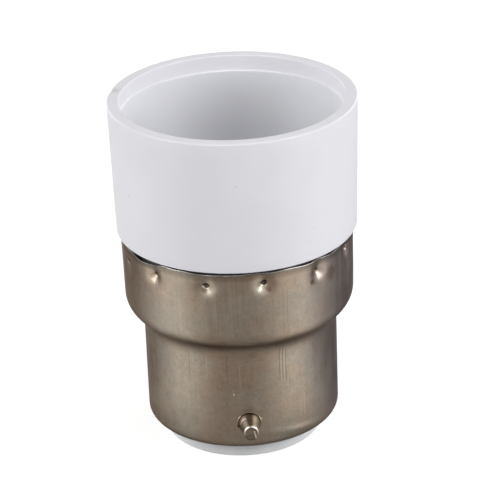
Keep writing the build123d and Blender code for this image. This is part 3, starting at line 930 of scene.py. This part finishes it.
def bayonet_pin(facing, material):
    """The pin on that side, with its end sunk inside its rim and a burr across it."""
    profile = divided(rounded(PIN_OUTLINE), PIN_STEP)
    points, uv = turned(profile, full_turn(PIN_SIDES), uv_radius=1.0)
    x, z, along = np.moveaxis(points, 2, 0)
    tip = smooth(CAP_RADIUS, PIN_TIP, along)
    right, above = x - BURR_START, z - BURR_RISE
    part = (right * BURR_ACROSS - above * BURR_DOWN) / (BURR_ACROSS**2 + BURR_DOWN**2)
    part = np.clip(part, 0, 1)
    beside = np.hypot(right - BURR_ACROSS * part, above + BURR_DOWN * part)
    burr = bell(beside / BURR_WIDTH) * (BURR_LOW + (1 - BURR_LOW) * part)
    sunk = END_SUNK + END_DISH * smooth(*END_DISH_RADII, np.hypot(x, z))
    along = along - sunk * (along > PIN_TIP - END_LENGTH) * (1 - burr)
    sideways = -facing * (x + PIN_LEAN * tip)
    height = PIN_Z + drooped(z, tip) - PIN_SAG * (PIN_ROOT_SAG + (1 - PIN_ROOT_SAG) * tip)
    points = np.stack([sideways, facing * along, height], axis=2)
    side = "front" if facing < 0 else "rear"
    made = Surface().patch(points, uv).piece(f"bayonet_pin_{side}_drawn", material, sharp=60)
    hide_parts(f"bayonet_pin_{side}")


# Screw shell with its rolled thread, and the strap that leads down to its rivet


def threaded_sleeve():
    """Points and uv of the shell, inside and outside."""
    turn = full_turn(SHELL_SIDES)
    flat = np.ones_like(turn)
    heights = np.linspace(THREAD_BASE_Z, THREAD_TOP_Z, SHELL_ROWS)
    wave = 0.5 - 0.5 * np.cos(2 * pi * heights[:, None] / THREAD_PITCH - turn)
    runout = smooth(THREAD_BASE_Z, THREAD_BASE_Z + THREAD_RUNOUT, heights)
    runout = runout * smooth(THREAD_TOP_Z, THREAD_TOP_Z - THREAD_RUNOUT, heights)
    thread = THREAD_CREST + THREAD_DEPTH * wave * runout[:, None]
    foot, flare = np.array(SHELL_FOOT), np.array(SHELL_FLARE)
    inside = np.vstack([foot[:, :1] * flat, thread, flare[:, :1] * flat])
    levels = np.concatenate([foot[:, 1], heights, flare[:, 1]])
    skins = np.vstack([inside, inside[::-1] + SHELL_SHEET])
    levels = np.concatenate([levels, levels[::-1]])
    points = np.stack([skins * np.sin(turn), -skins * np.cos(turn), levels[:, None] * flat], axis=2)
    run = np.append(levels, levels[0])
    return points[:, ::-1], np.stack(np.meshgrid(np.append(turn, pi) * THREAD_CREST, run), axis=2)


def shell_strap():
    """Points and uv of the strap, bent along its length and rounded across where it joins the shell."""
    strap = np.array(STRAP)
    face, out = strap[:, :2], strap[:, 2:]
    loop = np.vstack([face, (face + out * SHELL_SHEET)[::-1]])
    across = np.linspace(-STRAP_HALF, STRAP_HALF, STRAP_COLUMNS)
    far, z = loop[:, :1], loop[:, 1:]
    x = np.sqrt(far**2 - across**2 * smooth(*STRAP_ROUNDING, far))
    points = np.stack([x, across + 0 * x, z + 0 * x], axis=2)
    run = np.arange(len(loop) + 1) * STRAP_UV_STEP
    return points, np.stack(np.meshgrid(across, run), axis=2)


def screw_shell(material):
    """Sleeve and strap in one piece."""
    surface = Surface().patch(*threaded_sleeve(), wrap_rows=True)
    surface.patch(*shell_strap(), wrap_rows=True, wrap_columns=False)
    made = surface.piece("screw_shell_threaded", material, sharp=50)
    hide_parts("screw_shell")


# Solder in the base eyelets


def base_solder(side, x, seed, material):
    """An uneven dome of solder that bulges downwards at that x."""
    rng = np.random.default_rng(seed)
    turn = full_turn(DOME_SIDES)
    lobes = (rng.uniform(*DOME_LOBE_SIZE) * np.cos(k * turn + rng.uniform(0, 6)) for k in DOME_LOBES)
    shape = 1 + sum(lobes)
    steps = np.linspace(0, pi / 2, DOME_ROWS)[:, None]
    r = np.minimum(DOME_RADIUS * np.sin(steps) * shape, DOME_LIMIT)
    z = DOME_TOP_Z - DOME_HEIGHT * np.cos(steps) * (1 + DOME_TILT * np.cos(2 * turn + 1))
    points = np.stack([x + r * np.sin(turn), -r * np.cos(turn), z], axis=2)
    uv = np.stack(np.meshgrid(np.append(turn, pi), steps[:, 0]), axis=2)
    made = Surface().patch(points, uv).piece(f"base_solder_{side}_dome", material)
    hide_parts(f"base_solder_{side}")


# Pieces with meshes of their own

cap_shell(nickel_plate())
socket_body(white_plastic())
pin_finish = pin_plate()
for facing in FACINGS:
    bayonet_pin(facing, pin_finish)
shell_finish = plated("shell_plate", (0.66, 0.63, 0.58), (0.6, 0.55, 0.47), roughness=0.28, grain=0.0005)
screw_shell(shell_finish)
solder = plated("solder", (0.58, 0.58, 0.6), (0.42, 0.42, 0.44), roughness=0.3, grain=0.008)
base_solder("left", -CONTACT_OFFSET, seed=11, material=solder)
base_solder("right", CONTACT_OFFSET, seed=23, material=solder)

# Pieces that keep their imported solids, with a finish each

brass = plated("contact_brass", (0.62, 0.46, 0.2), (0.5, 0.35, 0.15), roughness=0.3, grain=0.0015)
rivet = plated("rivet_brass", (0.6, 0.45, 0.2), (0.48, 0.34, 0.15), roughness=0.28, grain=0.0015)
bronze = plated("spring_bronze", (0.6, 0.38, 0.2), (0.5, 0.3, 0.15), roughness=0.28, grain=0.0015)
copper = plated("wire_copper", (0.6, 0.3, 0.16), (0.48, 0.23, 0.12), roughness=0.35, grain=0.002)
sleeve = moulded("wire_insulation", (0.8, 0.8, 0.78), (0.74, 0.74, 0.72), roughness=0.45)
insulator = moulded("insulator", (0.77, 0.78, 0.795), (0.71, 0.72, 0.735), roughness=0.5)
finishes = (
    (insulator, ("base_insulator",)),
    (brass, ("base_contact_left", "base_contact_right")),
    (bronze, ("centre_contact",)),
    (rivet, ("centre_rivet", "shell_rivet")),
    (solder, ("centre_solder", "shell_solder")),
    (copper, ("centre_wire_core", "shell_wire_core")),
    (sleeve, ("centre_wire_sleeve", "shell_wire_sleeve")),
)
for material, names in finishes:
    for name in names:
        nodes[name].data.materials.clear()
        nodes[name].data.materials.append(material)

# Stage: a pale floor and a white background, for the camera and for what the metal reflects
FLOOR_SIZE = 6000
FLOOR_COLOUR = (0.55, 0.55, 0.55)
FLOOR_LIFT = 0.68
AMBIENT = 0.07
# Painted reflection of the table round the adapter, glowing on a card that only the metal sees: angle,
# level, warmth
CARD_LEVELS = (
    (-180, 0.5, 0.6), (-150, 0.42, 0.6), (-130, 0.24, 1), (-114, 0.22, 0.8), (-100, 0.34, 0.3),
    (-88, 0.52, 0.2), (-76, 0.76, 0.2), (-62, 1, 0.2), (-52, 0.84, 0.5), (-40, 0.4, 0.9),
    (-24, 0.29, 1), (0, 0.275, 1), (18, 0.345, 1), (34, 0.66, 0.6), (48, 0.95, 0.2),
    (60, 0.82, 0.2), (78, 0.32, 0.1), (94, 0.18, 0), (110, 0.13, 0), (130, 0.14, 0), (180, 0.5, 0.6),
)
# What full warmth takes from the green and the blue
WARM_GREEN = 0.13
WARM_BLUE = 0.23
# The lightest the painted reflection is at a distance from the axis, dark where it paints the contact
# shadow: millimetres, level
CARD_FADE = (
    (9.6, 0.15), (12, 0.19), (15, 0.26), (18, 0.42), (20, 0.66), (22, 0.85), (25, 0.93), (30, 0.97),
    (36, 1),
)
FADE_WARMTH = (1.0, 0.93, 0.86)
CARD_OUTER = 900
CARD_Z = 0.3
CARD_STRENGTH = 1.4
CARD_SIDES = 96
# Lamps: name, azimuth and elevation in degrees, distance, width, power in watts
LAMPS = (
    ("key_right", 62, 26, 500, 300, 1.98),
    ("fill_left", -70, 26, 500, 300, 1.68),
    ("front", -5, 40, 600, 300, 0.27),
    ("top", 0, 80, 600, 250, 0.2),
    ("back_right", 134, 14, 500, 300, 0.65),
    ("back_left", -140, 14, 500, 300, 0.65),
)
LAMP_AIM = (0, 0, 20)


def seen_rays(tree):
    """1 for camera, glossy and transmitted rays, and 0 for the rest."""
    path = tree.nodes.new("ShaderNodeLightPath")
    total = path.outputs["Is Camera Ray"]
    for name in ("Is Glossy Ray", "Is Transmission Ray"):
        step = tree.nodes.new("ShaderNodeMath")
        step.operation = "MAXIMUM"
        tree.links.new(total, step.inputs[0])
        tree.links.new(path.outputs[name], step.inputs[1])
        total = step.outputs[0]
    return total


def stage_object(name, points, faces, material):
    """A mesh for the stage, linked into the scene."""
    mesh = bpy.data.meshes.new(name)
    mesh.from_pydata([Vector(point) * MM for point in points], [], faces)
    mesh.materials.append(material)
    made = linked(name, mesh)
    return made


def pale_floor():
    """A dull floor that glows for the rays that are seen, so that it joins the white background."""
    look = Look("floor", Base_Color=FLOOR_COLOUR, Roughness=0.9, Specular_IOR_Level=0.0)
    glow = look.times(seen_rays(look.tree), FLOOR_LIFT)
    look.finish(Emission_Color=(1, 1, 1), Emission_Strength=glow)
    half = FLOOR_SIZE / 2
    corners = [(-half, -half, 0), (half, -half, 0), (half, half, 0), (-half, half, 0)]
    stage_object("floor", corners, [(0, 1, 2, 3)], look.material)


def graded_card():
    """A flat glowing card on the table, seen only in the metal: a painted reflection, darker in front and
    behind than at the sides.
    """
    look = Look("card", Base_Color=(0, 0, 0), Roughness=1.0, Specular_IOR_Level=0.0)
    x, y, _ = look.axes(look.place())
    around = look.math("ARCTAN2", x, look.times(y, -1))
    share = look.math("ADD", look.math("DIVIDE", around, 2 * pi), 0.5)
    shade = look.ramp(share, [
        ((angle + 180) / 360, (level, level * (1 - WARM_GREEN * warm), level * (1 - WARM_BLUE * warm)))
        for angle, level, warm in CARD_LEVELS
    ])
    nearest, furthest = CARD_FADE[0][0], CARD_FADE[-1][0]
    fade = look.ramp(look.math("DIVIDE", look.hypot(x, y), furthest), [
        (radius / furthest, [level * part for part in FADE_WARMTH]) for radius, level in CARD_FADE
    ])
    look.finish(Emission_Color=look.mix(1.0, shade, fade, "DARKEN"), Emission_Strength=CARD_STRENGTH)
    count = CARD_SIDES
    ring = [ring_point(r, 360 * k / count, CARD_Z) for r in (nearest, CARD_OUTER) for k in range(count)]
    faces = [(k, (k + 1) % count, count + (k + 1) % count, count + k) for k in range(count)]
    card = stage_object("card", ring, faces, look.material)
    for kind in ("camera", "diffuse", "transmission", "volume_scatter", "shadow"):
        setattr(card, f"visible_{kind}", False)


def white_world():
    """White for the rays that are seen, and a weak light for the rest."""
    world = bpy.data.worlds.new("studio")
    scene.world = world
    world.use_nodes = True
    tree = world.node_tree
    level = tree.nodes.new("ShaderNodeMapRange")
    level.inputs["To Min"].default_value = AMBIENT
    tree.links.new(seen_rays(tree), level.inputs["Value"])
    inputs = tree.nodes["Background"].inputs
    inputs["Color"].default_value = (1, 1, 1, 1)
    tree.links.new(level.outputs["Result"], inputs["Strength"])


def softbox(name, azimuth, elevation, distance, size, power):
    """A square soft lamp that faces the middle of the adapter."""
    lamp = bpy.data.lights.new(name, "AREA")
    lamp.size = size * MM
    lamp.energy = power
    holder = linked(name, lamp)
    middle = Vector(LAMP_AIM) * MM
    slope = radians(elevation)
    place = ring_point(distance * cos(slope), azimuth, distance * sin(slope))
    holder.location = middle + Vector(place) * MM
    holder.rotation_euler = (middle - holder.location).to_track_quat("-Z", "Y").to_euler()


pale_floor()
graded_card()
white_world()
for lamp in LAMPS:
    softbox(*lamp)

# Camera at the photograph's viewpoint
LENS = 166.1
SENSOR = 36.0
CLIP_START = 10
CAMERA_PLACE = (-11.30, -235.29, 134.49)
CAMERA_AIM = (1.36, -0.067, 21.63)
CAMERA_ROLL = -2.1


def photo_camera():
    """A camera at its place, turned to its aim and rolled."""
    data = bpy.data.cameras.new("camera")
    data.lens = LENS
    data.sensor_width = SENSOR
    data.clip_start = CLIP_START * MM
    camera = linked("camera", data)
    eye, aim = Vector(CAMERA_PLACE) * MM, Vector(CAMERA_AIM) * MM
    forward = (aim - eye).normalized()
    level = forward.cross(Vector((0, 0, 1))).normalized()
    axes = Matrix((level, level.cross(forward), -forward)).transposed()
    turn = axes @ Matrix.Rotation(radians(CAMERA_ROLL), 3, "Z")
    camera.matrix_world = Matrix.Translation(eye) @ turn.to_4x4()
    scene.camera = camera


photo_camera()
scene.view_settings.view_transform = "Standard"
